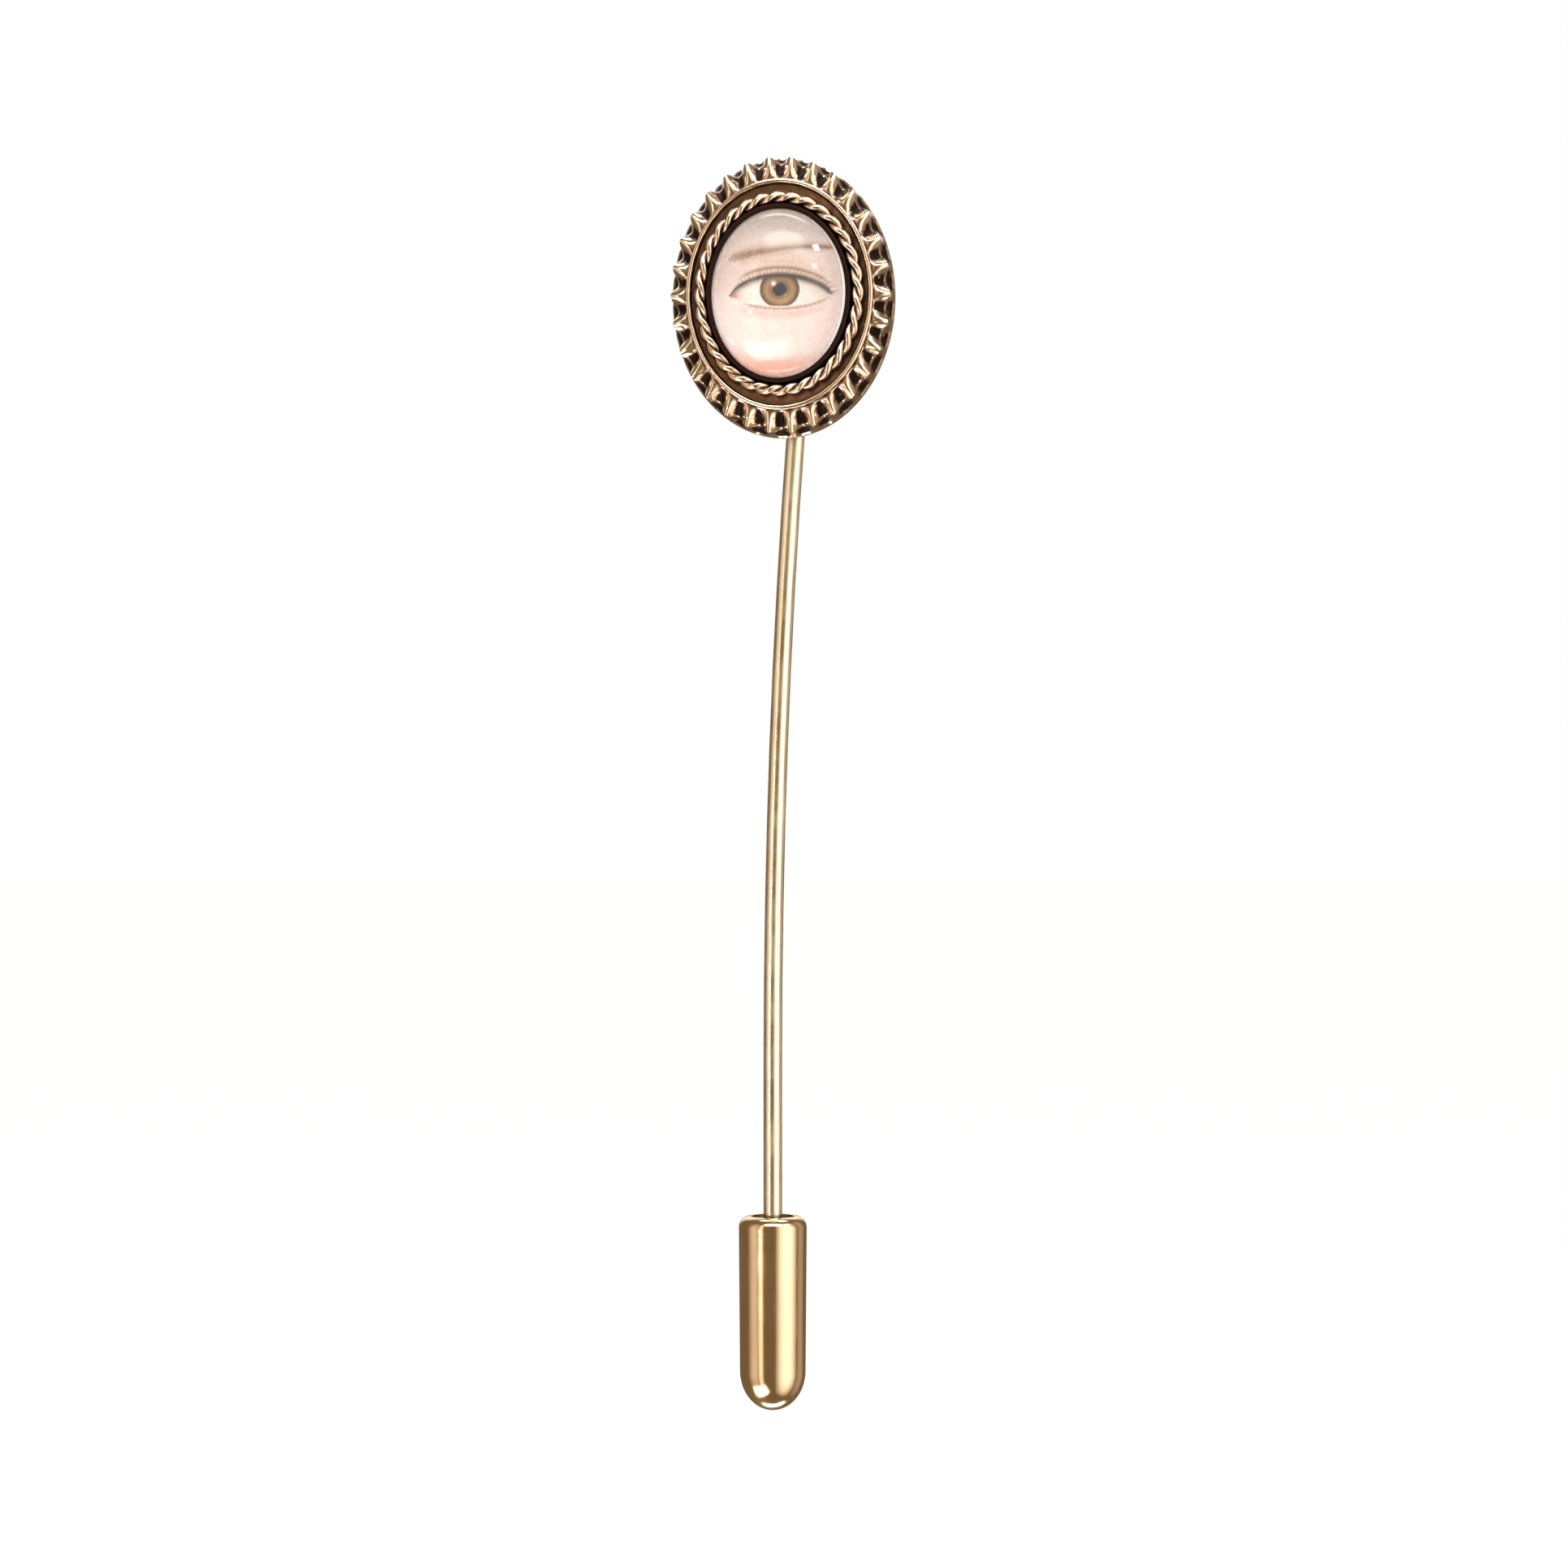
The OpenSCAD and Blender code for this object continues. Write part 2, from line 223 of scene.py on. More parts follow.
def ramp(tree, value, low, high, out_low=0.0, out_high=1.0):
    """Maps a value's range to another range and clamps it."""
    made = node(tree, "ShaderNodeMapRange", {"Value": value, "From Min": low, "From Max": high,
                                            "To Min": out_low, "To Max": out_high}, clamp=True)
    return made.outputs["Result"]


def mixed(tree, share, a, b, how="MIX"):
    """Mixes two colours. A share of 0 is all a, and a share of 1 is all b."""
    made = tree.nodes.new("ShaderNodeMix")
    made.data_type = "RGBA"
    made.blend_type = how
    for socket, value in ((made.inputs[0], share), (made.inputs[6], a), (made.inputs[7], b)):
        feed(tree, socket, value)
    return made.outputs[2]


def product(tree, a, b, how="MULTIPLY"):
    """Multiplies two values, or joins them in another way, and keeps the result from 0 to 1."""
    return node(tree, "ShaderNodeMath", {0: a, 1: b}, operation=how, use_clamp=True).outputs[0]


def bump(tree, shader, height, depth, strength):
    """Tilts the shading by a height. The depth is in metres."""
    made = node(tree, "ShaderNodeBump", {"Height": height, "Distance": depth, "Strength": strength})
    tree.links.new(made.outputs["Normal"], shader.inputs["Normal"])


def rgb(red, green, blue):
    return (red, green, blue, 1.0)

# %% [markdown]
# The stem and the clutch are the newer, polished gold. Each starts from a colour and drifts
# to a warmer one in slow patches. Fine scratches run along the wire, as it was drawn, and
# round the clutch, as it was turned. One bump height does both, because a noise that is
# stretched in one direction gives lines.

# %% Polished gold
# Near-black brown for the painted shade in the polished metals' recesses
RECESS_SHADE = rgb(0.06, 0.04, 0.02)


def polished_gold(name, colour, warm, grain, dull):
    made, tree, shader = material(name)
    shader.inputs["Metallic"].default_value = 1.0
    patches = noise(tree, (420, 420, 160), detail=3)
    metal = mixed(tree, ramp(tree, patches, 0.35, 0.7), colour, warm)
    open_air = node(tree, "ShaderNodeAmbientOcclusion", {"Distance": 0.0012}, samples=12).outputs["AO"]
    # Painted shade: where walls stand close, as in the clutch's mouth, the colour darkens to near black
    recess_shade = ramp(tree, open_air, 0.62, 0.22)
    tree.links.new(mixed(tree, recess_shade, metal, RECESS_SHADE), shader.inputs["Base Color"])
    wear = noise(tree, (900, 900, 500), detail=6)
    tree.links.new(ramp(tree, wear, 0.3, 0.75, dull * 0.6, dull * 1.6), shader.inputs["Roughness"])
    lines = noise(tree, grain, detail=5)
    bump(tree, shader, lines, 8e-7, 0.4)
    return made


stem_gold = polished_gold("stem_gold", rgb(1.0, 0.94, 0.74), rgb(1.0, 0.88, 0.63),
                          grain=(9000, 9000, 300), dull=0.28)
clutch_gold = polished_gold("clutch_gold", rgb(0.93, 0.73, 0.46), rgb(0.87, 0.64, 0.40),
                            grain=(700, 700, 9000), dull=0.15)

# %% [markdown]
# The head is older metal. An Ambient Occlusion node is nearly white in the open and dark
# where walls stand close, which is just where oxide stays. Noise breaks up its border, and a
# thin rose tint lies between the bright metal and the oxide. The collar's flutes are too open
# for that node to darken them much, so there a number on each point helps it.

# %% Aged gold


def aged_gold(name, bright, rose, oxide, polish, reach=0.0005, open_at=0.72, by_shelter=False):
    made, tree, shader = material(name)
    open_air = node(tree, "ShaderNodeAmbientOcclusion", {"Distance": reach}, samples=12).outputs["AO"]
    blotch = noise(tree, (1500, 1500, 1500), detail=5)
    if by_shelter:
        kept = node(tree, "ShaderNodeAttribute", attribute_name="shelter").outputs["Fac"]
        patch = noise(tree, (1900, 1900, 1900), detail=2)
        bared = product(tree, kept, ramp(tree, patch, 0.52, 0.68, 1.0, 0.62))
        open_air = product(tree, open_air, ramp(tree, bared, 0.3, 0.8, 1.0, 0.02))
    edge = product(tree, open_air, ramp(tree, blotch, 0.2, 0.8, -0.12, 0.12), "ADD")
    shut_in = ramp(tree, edge, open_at, open_at - 0.44)
    rosy = ramp(tree, edge, 0.98, 0.62)
    shift = noise(tree, (600, 600, 600), detail=3)
    metal = mixed(tree, ramp(tree, shift, 0.35, 0.7, 0.0, 0.45), bright, rose)
    metal = mixed(tree, product(tree, rosy, 0.75), metal, rose)
    tree.links.new(mixed(tree, shut_in, metal, oxide), shader.inputs["Base Color"])
    shader.inputs["Metallic"].default_value = 1.0
    dullness = product(tree, shut_in, product(tree, blotch, 0.25), "ADD")
    tree.links.new(ramp(tree, dullness, 0.0, 1.0, polish, 0.55), shader.inputs["Roughness"])
    pits = noise(tree, (4200, 4200, 4200), detail=4)
    bump(tree, shader, pits, 1.2e-5, 0.8)
    return made


BRIGHT = rgb(1.0, 0.85, 0.64)
ROSE = rgb(0.80, 0.52, 0.41)
OXIDE = rgb(0.028, 0.015, 0.012)
aged = aged_gold("aged_gold", BRIGHT, ROSE, OXIDE, polish=0.14)
rope_gold = aged_gold("rope_gold", BRIGHT, ROSE, OXIDE, polish=0.14, open_at=0.66)
fluted_gold = aged_gold("fluted_gold", BRIGHT, ROSE, OXIDE, polish=0.11, reach=0.0004,
                        open_at=0.78, by_shelter=True)
plate_gold = aged_gold("plate_gold", rgb(0.46, 0.44, 0.35), rgb(0.34, 0.30, 0.24), OXIDE, polish=0.3)
# The bezel's near-black gold: partly oxide, partly painted shade for the dark gap between the glass and the
# rope
dark_gold = aged_gold("dark_gold", rgb(0.05, 0.024, 0.017), rgb(0.03, 0.014, 0.01),
                      rgb(0.01, 0.005, 0.004), polish=0.5)
# The tray's gold is darker than the rim's: painted shade for the channel under the rope
shaded_tray_gold = aged_gold("shaded_tray_gold", rgb(0.56, 0.40, 0.26), rgb(0.32, 0.19, 0.13),
                      rgb(0.03, 0.016, 0.012), polish=0.26)
solder = aged_gold("solder", rgb(0.62, 0.50, 0.36), rgb(0.50, 0.38, 0.28),
                   rgb(0.05, 0.035, 0.025), polish=0.34)

# %% [markdown]
# The pieces inside the clutch and behind the painting are plainer: spring metal, nylon and
# packing card. Each still has its own grain and its own sheen.

# %% Plain finishes


def plain(name, light, dark, rough, grain, depth, metallic=0.0):
    made, tree, shader = material(name)
    shader.inputs["Metallic"].default_value = metallic
    patches = noise(tree, grain, detail=5)
    tree.links.new(mixed(tree, patches, light, dark), shader.inputs["Base Color"])
    tree.links.new(ramp(tree, patches, 0.3, 0.7, rough * 0.8, rough * 1.2), shader.inputs["Roughness"])
    bump(tree, shader, patches, depth, 0.6)
    return made


spring_metal = plain("spring_metal", rgb(0.66, 0.64, 0.60), rgb(0.48, 0.46, 0.42), 0.28,
                     (900, 900, 7000), 2e-6, metallic=1.0)
nylon = plain("nylon", rgb(0.86, 0.83, 0.74), rgb(0.78, 0.74, 0.63), 0.5, (2500, 2500, 2500), 3e-6)
card = plain("card", rgb(0.70, 0.62, 0.48), rgb(0.52, 0.44, 0.32), 0.9, (3200, 800, 3200), 1.2e-5)

# %% [markdown]
# Glass must let the lamps through to the painting, or the painting goes black. Light Path
# tells a shadow ray from the others, and those rays meet a clear surface instead.

# %% Glass


def clear_glass(name):
    made, tree, shader = material(name)
    shader.inputs["Base Color"].default_value = rgb(0.98, 0.985, 0.98)
    shader.inputs["Transmission Weight"].default_value = 1.0
    shader.inputs["IOR"].default_value = 1.47
    shader.inputs["Specular IOR Level"].default_value = 0.3
    smears = noise(tree, (700, 700, 700), detail=4)
    tree.links.new(ramp(tree, smears, 0.4, 0.8, 0.0, 0.035), shader.inputs["Roughness"])
    bump(tree, shader, smears, 2e-6, 0.3)
    ray = node(tree, "ShaderNodeLightPath").outputs["Is Shadow Ray"]
    clear = node(tree, "ShaderNodeBsdfTransparent", {"Color": rgb(0.96, 0.97, 0.965)}).outputs["BSDF"]
    both = node(tree, "ShaderNodeMixShader", {0: ray, 1: shader.outputs["BSDF"], 2: clear}).outputs["Shader"]
    tree.links.new(both, tree.nodes["Material Output"].inputs["Surface"])
    return made


glass = clear_glass("glass")

# %% [markdown]
# Six pieces keep the shape that the frame gives them and only get a finish: the bowed wire,
# the card behind the painting, and the four small pieces that hide inside the clutch.

# %% Dress the pieces that keep their own shape
finishes = {"stem": stem_gold, "packing_card": card, "guide_washer": nylon,
            "grip_spring": spring_metal, "spacer_sleeve": nylon, "tip_cushion": nylon}
for name, finish in finishes.items():
    nodes[name].data.materials.clear()
    nodes[name].data.materials.append(finish)
print("dressed", list(finishes))

# %% [markdown]
# ## The back plate, the rim band and the rope's tray
#
# The plate and the band are a flat oval and a straight wall. Their outlines come from the
# frame, and what they need is a soft edge that catches a thin line of light. The tray that
# the rope lies in is a flat hoop in the frame. Here a few rings take its floor down along part
# of a sine wave, because a dished floor shades off towards the glass and a flat one doesn't.

# %% Hoops and plates
PLATE_EDGE = 0.1 * MM
RIM_EDGE = 0.11 * MM
FINE_EDGE = 0.03 * MM


def oval_disc(name, oval, low, high):
    return raise_rings(name, [[*oval, low], [*oval, high]])


def oval_hoop(name, outer, inner, low, high):
    rings = [[*outer, low], [*outer, high], [*inner, high], [*inner, low]]
    return raise_rings(name, rings, kind="hoop")


def finish_head_piece(piece, node, finish, edge):
    soften(piece, edge)
    on_head(piece)
    piece.data.materials.append(finish)
    return stand_for(piece, node, "pin")


plate = oval_disc("plate", oval_of("back_plate"), *heights_of("back_plate"))
finish_head_piece(plate, "back_plate", plate_gold, PLATE_EDGE)

RIM_WALL = 0.24 * MM
rim_oval = oval_of("rim_band")
rim = oval_hoop("rim", rim_oval, rim_oval - RIM_WALL, *heights_of("rim_band"))
finish_head_piece(rim, "rim_band", aged, RIM_EDGE)

TRAY_LEDGE = 0.06 * MM
TRAY_DISH = 0.13 * MM
TRAY_GAP = 0.02 * MM
DISH_SHARE = 0.8
DISH_RINGS = 8
tray_outer = oval_of("rope_tray")
tray_inner = oval_of("bezel") + TRAY_GAP
tray_back, tray_front = heights_of("rope_tray")
dish_start = tray_outer - TRAY_LEDGE
dish_width = tray_inner - tray_outer + TRAY_LEDGE
dish = [[*(dish_start + s * dish_width), tray_front - TRAY_DISH * math.sin(s * math.pi / 2)]
        for s in np.linspace(0, DISH_SHARE, DISH_RINGS)]
tray_rings = [[*tray_outer, tray_back], [*tray_outer, tray_front], *dish]
tray_rings += [[*tray_inner, dish[-1][2]], [*tray_inner, tray_back]]
tray = raise_rings("tray", tray_rings, kind="hoop")
finish_head_piece(tray, "rope_tray", shaded_tray_gold, FINE_EDGE)

# %% [markdown]
# Behind the plate, a round pad of solder holds the tube that the stem is pushed into. Solder
# sets with a rounded edge and a slightly lumpy skin, which the Displace modifier gives from
# a slow cloud pattern. The tube is raised from its closed top, down its outside and back up
# inside, and then leans with the end of the bowed wire.

# %% Solder pad
# Each ring of the pad is a share of its radius and a share of its height
SOLDER_EDGE = [(1.0, 0.0), (1.0, 0.3), (0.975, 0.62), (0.91, 0.86),
               (0.8, 0.97), (0.6, 1.0), (0.3, 1.0), (0.1, 1.0)]
LUMP_SIZE = 1.1 * MM
LUMP_DEPTH = 0.08 * MM
pad_back, pad_front = heights_of("solder_pad")
pad_radius = oval_of("solder_pad")[0]
pad_rings = [[pad_radius * r, pad_radius * r, pad_front + (pad_back - pad_front) * h]
             for r, h in SOLDER_EDGE]
pad = raise_rings("solder_round", pad_rings, 96)
select_only(pad)
lumps = bpy.data.textures.new("lumps", "CLOUDS")
lumps.noise_scale = LUMP_SIZE
skin = pad.modifiers.new("skin", "DISPLACE")
skin.texture = lumps
skin.strength = LUMP_DEPTH
skin.mid_level = 1.0
bpy.ops.object.modifier_apply(modifier=skin.name)
bpy.ops.object.shade_smooth_by_angle(angle=math.radians(60))
on_head(pad)
pad.data.materials.append(solder)
stand_for(pad, "solder_pad", "pin")

# %% Socket tube
TUBE_WALL = 0.3 * MM
TUBE_FLOOR = 0.5 * MM
TUBE_EDGE = 0.06 * MM
TUBE_INSET = 0.003 * MM
tube_low, tube_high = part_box("stem_socket")
tube_radius = tube_high[1] - TUBE_INSET
lean = math.asin((tube_high[0] - tube_low[0] - 2 * tube_radius) / (tube_high[2] - tube_low[2]))
half_tube = (tube_high[2] - tube_low[2]) / 2 / math.cos(lean) - tube_radius * math.tan(lean)
tube_bore = tube_radius - TUBE_WALL
tube_profile = [(tube_radius, half_tube), (tube_radius, -half_tube),
                (tube_bore, -half_tube), (tube_bore, half_tube - TUBE_FLOOR)]
tube = raise_rings("socket_tube", [[r, r, h] for r, h in tube_profile], 64)
soften(tube, TUBE_EDGE)
settle(tube, [(a + b) / 2 for a, b in zip(tube_low, tube_high)], (0, lean, 0))
tube.data.materials.append(solder)
stand_for(tube, "stem_socket", "pin")
print("tube leans", round(math.degrees(lean), 2), "degrees, half length in mm:", round(half_tube / MM, 2))

# %% [markdown]
# ## The bezel
#
# The bezel is a thin hoop whose lip is pushed over the glass's edge. Seen from outside, only
# the lip shows, as a dark line between the glass and the rope. Its near-black gold is partly
# oxide and partly painted shade for that gap.

# %% Bezel
BEZEL_WALL = 0.17 * MM
LIP_LEAN = 0.08 * MM
LIP_HEIGHT = 0.38 * MM
bezel_outer = oval_of("bezel")
bezel_inner = bezel_outer - BEZEL_WALL
lip_inner = bezel_inner - LIP_LEAN
bezel_back, bezel_front = heights_of("bezel")
lip_under = bezel_front - LIP_HEIGHT
bezel_rings = [[*bezel_outer, bezel_back], [*bezel_outer, bezel_front], [*lip_inner, bezel_front],
               [*lip_inner, lip_under], [*bezel_inner, lip_under], [*bezel_inner, bezel_back]]
cup = raise_rings("bezel_cup", bezel_rings, kind="hoop")
finish_head_piece(cup, "bezel", dark_gold, FINE_EDGE)

# %% [markdown]
# ## The fluted collar
#
# The collar was stamped from sheet into a pie-crust edge with thirty flutes. It is raised
# here as a smooth skirt that has sixteen segments to a flute. On each ring, the points at
# the same place in every flute are then picked together, lifted or lowered, and pushed out
# or in, so that all thirty ridges rise at once. The sheet gets its thickness last. A
# subdivided coarse form would be less work, but it rounds off the crisp ridges.

# %% Collar skirt
FLUTES = 30
FLUTE_SEGMENTS = 16
WAVE_HEIGHT = 0.42 * MM
WAVE_REACH = 0.14 * MM
FOOT_FLARE = 0.26 * MM
SHEET = 0.2 * MM
RIM_HEIGHT = 1.15 * MM
RIM_GAP = 0.02 * MM
TOP_RINGS = 12
WALL_RINGS = 9
collar_foot = heights_of("fluted_collar")[0]
collar_outer = oval_of("fluted_collar") - FOOT_FLARE
collar_inner = rim_oval + RIM_GAP
collar_top = heights_of("rope_tray")[1]
collar_rim = collar_foot + RIM_HEIGHT


def wave(angle):
    """From -1 in a valley to 1 on a ridge."""
    return np.cos(FLUTES * angle)


# A ring is its oval, its height, and its share of the wave
top_width = collar_outer - collar_inner
skirt = [(collar_inner + s * top_width, collar_top + (collar_rim - collar_top) * s ** 1.6, s ** 0.9)
         for s in np.linspace(0, 1, TOP_RINGS)]
skirt += [(collar_outer + FOOT_FLARE * s ** 2, collar_rim + (collar_foot - collar_rim) * s, 1 - s)
          for s in np.linspace(0.08, 1, WALL_RINGS)]
segments = FLUTES * FLUTE_SEGMENTS
collar = raise_rings("collar", [[*oval, height] for oval, height, share in skirt], segments, kind="sheet")
print("skirt has", len(collar.data.vertices), "points in", len(skirt), "rings")

# %% Flutes


def pick(piece, chosen):
    """Selects the chosen points of the piece that is in edit mode."""
    shape = bmesh.from_edit_mesh(piece.data)
    for vertex, flag in zip(shape.verts, chosen):
        vertex.select = bool(flag)
    shape.select_flush_mode()
    bmesh.update_edit_mesh(piece.data)


def points_of(piece):
    flat = np.empty(3 * len(piece.data.vertices))
    piece.data.vertices.foreach_get("co", flat)
    return flat.reshape(-1, 3)


points = points_of(collar)
ring_of = np.argmin(abs(points[:, 2:] - np.array([height for oval, height, share in skirt])), axis=1)
ovals = np.array([oval for oval, height, share in skirt])[ring_of]
angle_of = np.arctan2(points[:, 1] / ovals[:, 1], points[:, 0] / ovals[:, 0])
place = np.round(angle_of * segments / (2 * np.pi)).astype(int) % FLUTE_SEGMENTS
place = np.minimum(place, FLUTE_SEGMENTS - place)
select_only(collar)
bpy.ops.object.mode_set(mode="EDIT")
for ring, (oval, height, share) in enumerate(skirt):
    for spot in range(FLUTE_SEGMENTS // 2 + 1):
        lift = wave(2 * np.pi * spot / segments) * share
        pick(collar, (ring_of == ring) & (place == spot))
        bpy.ops.transform.translate(value=(0, 0, WAVE_HEIGHT * lift))
        reach = (oval + WAVE_REACH * lift) / oval
        bpy.ops.transform.resize(value=(reach[0], reach[1], 1), center_override=(0, 0, 0))
bpy.ops.object.mode_set(mode="OBJECT")

# %% [markdown]
# Oxide settles in the valleys, and cloth keeps the ridges bright. A number on each point
# says how sheltered it is, so that the finish can follow the flutes exactly. The rings next
# to the rim are rubbed, the rim itself is rubbed most, and the foot's last two rings are
# bright again.

# %% Shelter of the flutes, then the sheet's thickness
shares = np.array([share for oval, height, share in skirt])[ring_of]
rim_ring = TOP_RINGS - 1
foot_ring = len(skirt) - 2
valley = (1 - wave(angle_of)) / 2
shelter = np.where(ring_of > rim_ring, 0.5 + 0.4 * valley, valley * shares ** 0.15)
shelter = np.where(np.abs(ring_of - rim_ring) <= 1, 0.35 * shelter, shelter)
shelter = np.where(ring_of == rim_ring, 0.1, shelter)
shelter = np.where(ring_of >= foot_ring, 0.2, shelter)
kept = collar.data.attributes.new("shelter", "FLOAT", "POINT")
kept.data.foreach_set("value", shelter.astype(np.float32))
select_only(collar)
sheet = collar.modifiers.new("sheet", "SOLIDIFY")
sheet.thickness = SHEET
sheet.offset = -1
bpy.ops.object.modifier_apply(modifier=sheet.name)
bpy.ops.object.shade_smooth_by_angle(angle=math.radians(50))
on_head(collar)
collar.data.materials.append(fluted_gold)
stand_for(collar, "fluted_collar", "pin")

# %% [markdown]
# ## The rope wire
#
# Two round wires are twisted together and bent round the bezel. Each wire is a curve that
# winds round the rope's own oval line, with a round section, and it is then made a mesh.

# %% Rope
TWISTS = 16
POINTS_A_TWIST = 24
STRAND = 0.178 * MM
WIND = 0.168 * MM
ROPE_GAP = 0.02 * MM
ROPE_HALF = 0.34 * MM
rope_back, rope_front = heights_of("rope_strand_a")
rope_height = (rope_back + rope_front) / 2
rope_oval = bezel_outer + ROPE_GAP + ROPE_HALF


def strand(name, start):
    count = TWISTS * POINTS_A_TWIST
    t = np.arange(count) * 2 * np.pi / count
    line = np.stack([rope_oval[0] * np.cos(t), rope_oval[1] * np.sin(t)])
    out = np.stack([rope_oval[1] * np.cos(t), rope_oval[0] * np.sin(t)])
    out /= np.linalg.norm(out, axis=0)
    turn = TWISTS * t + start
    place = line + WIND * np.cos(turn) * out
    height = rope_height + WIND * np.sin(turn)
    curve = bpy.data.curves.new(name, "CURVE")
    curve.dimensions = "3D"
    curve.bevel_depth = STRAND
    curve.bevel_resolution = 3
    spline = curve.splines.new("POLY")
    spline.points.add(count - 1)
    spline.use_cyclic_u = True
    for point, x, y, z in zip(spline.points, *place, height):
        point.co = (x, y, z, 1)
    piece = bpy.data.objects.new(name, curve)
    bpy.context.collection.objects.link(piece)
    select_only(piece)
    bpy.ops.object.convert(target="MESH")
    bpy.ops.object.shade_smooth()
    return bpy.context.object


for letter, start in (("a", 0), ("b", math.pi)):
    wire = strand("rope_wire_" + letter, start)
    on_head(wire)
    wire.data.materials.clear()
    wire.data.materials.append(rope_gold)
    stand_for(wire, "rope_strand_" + letter, "pin")

# %% [markdown]
# ## The glass
#
# A cabochon is a straight girdle with a dome ground on it. The dome is raised in rings that
# get closer towards the top, so that its curve stays even where the light lands on it.

# %% Glass dome
glass_oval = oval_of("glass_dome")
glass_back, glass_front = heights_of("glass_dome")
GIRDLE = 0.8 * MM
GIRDLE_STEP = 0.08 * MM
GLASS_EDGE = 0.02 * MM
dome_oval = glass_oval - GIRDLE_STEP
girdle_top = glass_back + GIRDLE
dome_rise = glass_front - girdle_top
dome_rings = [[*(dome_oval * math.cos(a)), girdle_top + dome_rise * math.sin(a)]
              for a in np.radians(np.linspace(0, 88, 40))]
rings = [[*glass_oval, glass_back], [*glass_oval, girdle_top], *dome_rings]
cabochon = raise_rings("cabochon", rings)
soften(cabochon, GLASS_EDGE, 40, 2)
on_head(cabochon)
cabochon.data.materials.append(glass)
stand_for(cabochon, "glass_dome", "pin")

# %% [markdown]
# ## The clutch
#
# The shell was drawn from one disc of metal: a nose, a straight barrel that narrows a hair,
# a round shoulder and a turned-in mouth. Its profile runs from the pole of the nose, up the
# outside, over the mouth and down the inside to the inner pole, so the shell has a true wall.

# %% Clutch shell
shell_low, shell_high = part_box("clutch_shell")
shell_radius = shell_high[0]
NOSE = 2.1 * MM
WALL = 0.3 * MM
TAPER = 0.06 * MM
SHOULDER = 0.62 * MM
MOUTH = 1.14 * MM
MOUTH_TURN = 0.02 * MM
shell_top = shell_high[2]
shoulder_low = shell_top - SHOULDER
nose_top = shell_low[2] + NOSE
nose_radius = shell_radius - TAPER
bore = nose_radius - WALL
profile = [[nose_radius * math.sin(a), nose_top - NOSE * math.cos(a)]
           for a in np.radians(np.linspace(2, 90, 30))]
profile += [[shell_radius + (nose_radius - shell_radius) * s, shoulder_low - (shoulder_low - nose_top) * s]
            for s in (0.97, 0.75, 0.5, 0.25, 0.03)]
profile += [[shell_radius - SHOULDER + SHOULDER * math.cos(a), shoulder_low + SHOULDER * math.sin(a)]
            for a in np.linspace(0, math.pi / 2, 16)]
profile += [[MOUTH, shell_top - MOUTH_TURN], [MOUTH, shell_top - WALL],
            [bore, shell_top - WALL], [bore, nose_top]]
profile += [[bore * math.cos(a), nose_top - (NOSE - WALL) * math.sin(a)]
            for a in np.radians(np.linspace(6, 88, 14))]
shell = raise_rings("bullet_shell", [[r, r, z] for r, z in profile], 160)
select_only(shell)
bpy.ops.object.shade_smooth_by_angle(angle=math.radians(35))
shell.data.materials.append(clutch_gold)
stand_for(shell, "clutch_shell", "clutch")

# %% [markdown]
# ## The painted plaque
#
# The miniature is an eye painted on a pale oval. This one is made up and follows rules of
# thumb. The eye takes a set share of the plaque and is a third as open as it is wide. The
# upper lid rises more than the lower one falls, the iris is about two fifths of the eye's
# width and is cut by the upper lid, and the brow is highest two thirds of the way along.
# The plaque's front gets many rings, and every point gets a colour, so the points are the
# grain of the painting. It could be made from noise and gradient nodes alone, but lids and
# lashes are easier to place as brush strokes in code.

# %% Plaque
PAINT_SEGMENTS = 360
plaque_oval = oval_of("painted_plaque")
plaque_back, plaque_front = heights_of("painted_plaque")
plaque_rings = [[*plaque_oval, plaque_back], [*plaque_oval, plaque_front]]
plaque_rings += [[*(plaque_oval * share), plaque_front] for share in np.linspace(0.993, 0.006, 112)]
plaque = raise_rings("plaque", plaque_rings, PAINT_SEGMENTS)
points = points_of(plaque) / MM
u, v = points[:, 0], points[:, 1]
print("plaque has", len(points), "points to paint")

# %% Brushes for the painting


def smooth(low, high, value):
    t = np.clip((value - low) / (high - low), 0, 1)
    return t * t * (3 - 2 * t)


def over(picture, colour, cover):
    """Lays a colour, 0 to 255 as on a palette card, over the picture where cover is 1."""
    return picture + (np.array(colour) / 255 - picture) * np.clip(cover, 0, 1)[:, None]


def dab(centre, reach):
    """A soft spot, 1 in the middle."""
    return np.exp(-((u - centre[0]) / reach[0]) ** 2 - ((v - centre[1]) / reach[1]) ** 2)


def line(height, half, start, end, fade=0.35):
    """A soft line that follows a height across the plaque and fades at its ends."""
    ends = smooth(start, start + fade, u) * smooth(end, end - fade, u)
    return ends * np.exp(-((v - height) / half) ** 2)


def hairs(roots, lean, length, width, curl):
    """Short tapered strokes, one from each root."""
    cover = np.zeros_like(u)
    for (x, y), angle, long in zip(roots, np.radians(lean), length):
        along = (u - x) * np.cos(angle) + (v - y) * np.sin(angle)
        across = (v - y) * np.cos(angle) - (u - x) * np.sin(angle) + curl * along ** 2
        taper = np.clip(1 - along / long, 0, 1)
        on_hair = (along > -width) & (along < long)
        half = width * (0.35 + 0.65 * taper)
        cover = np.maximum(cover, on_hair * taper ** 0.4 * np.exp(-(across / half) ** 2))
    return cover

# %% [markdown]
# The skin goes on first, as soft patches of a few reds and greys. The coordinates u and v are
# millimetres across and up the plaque, and each colour is laid over the last.

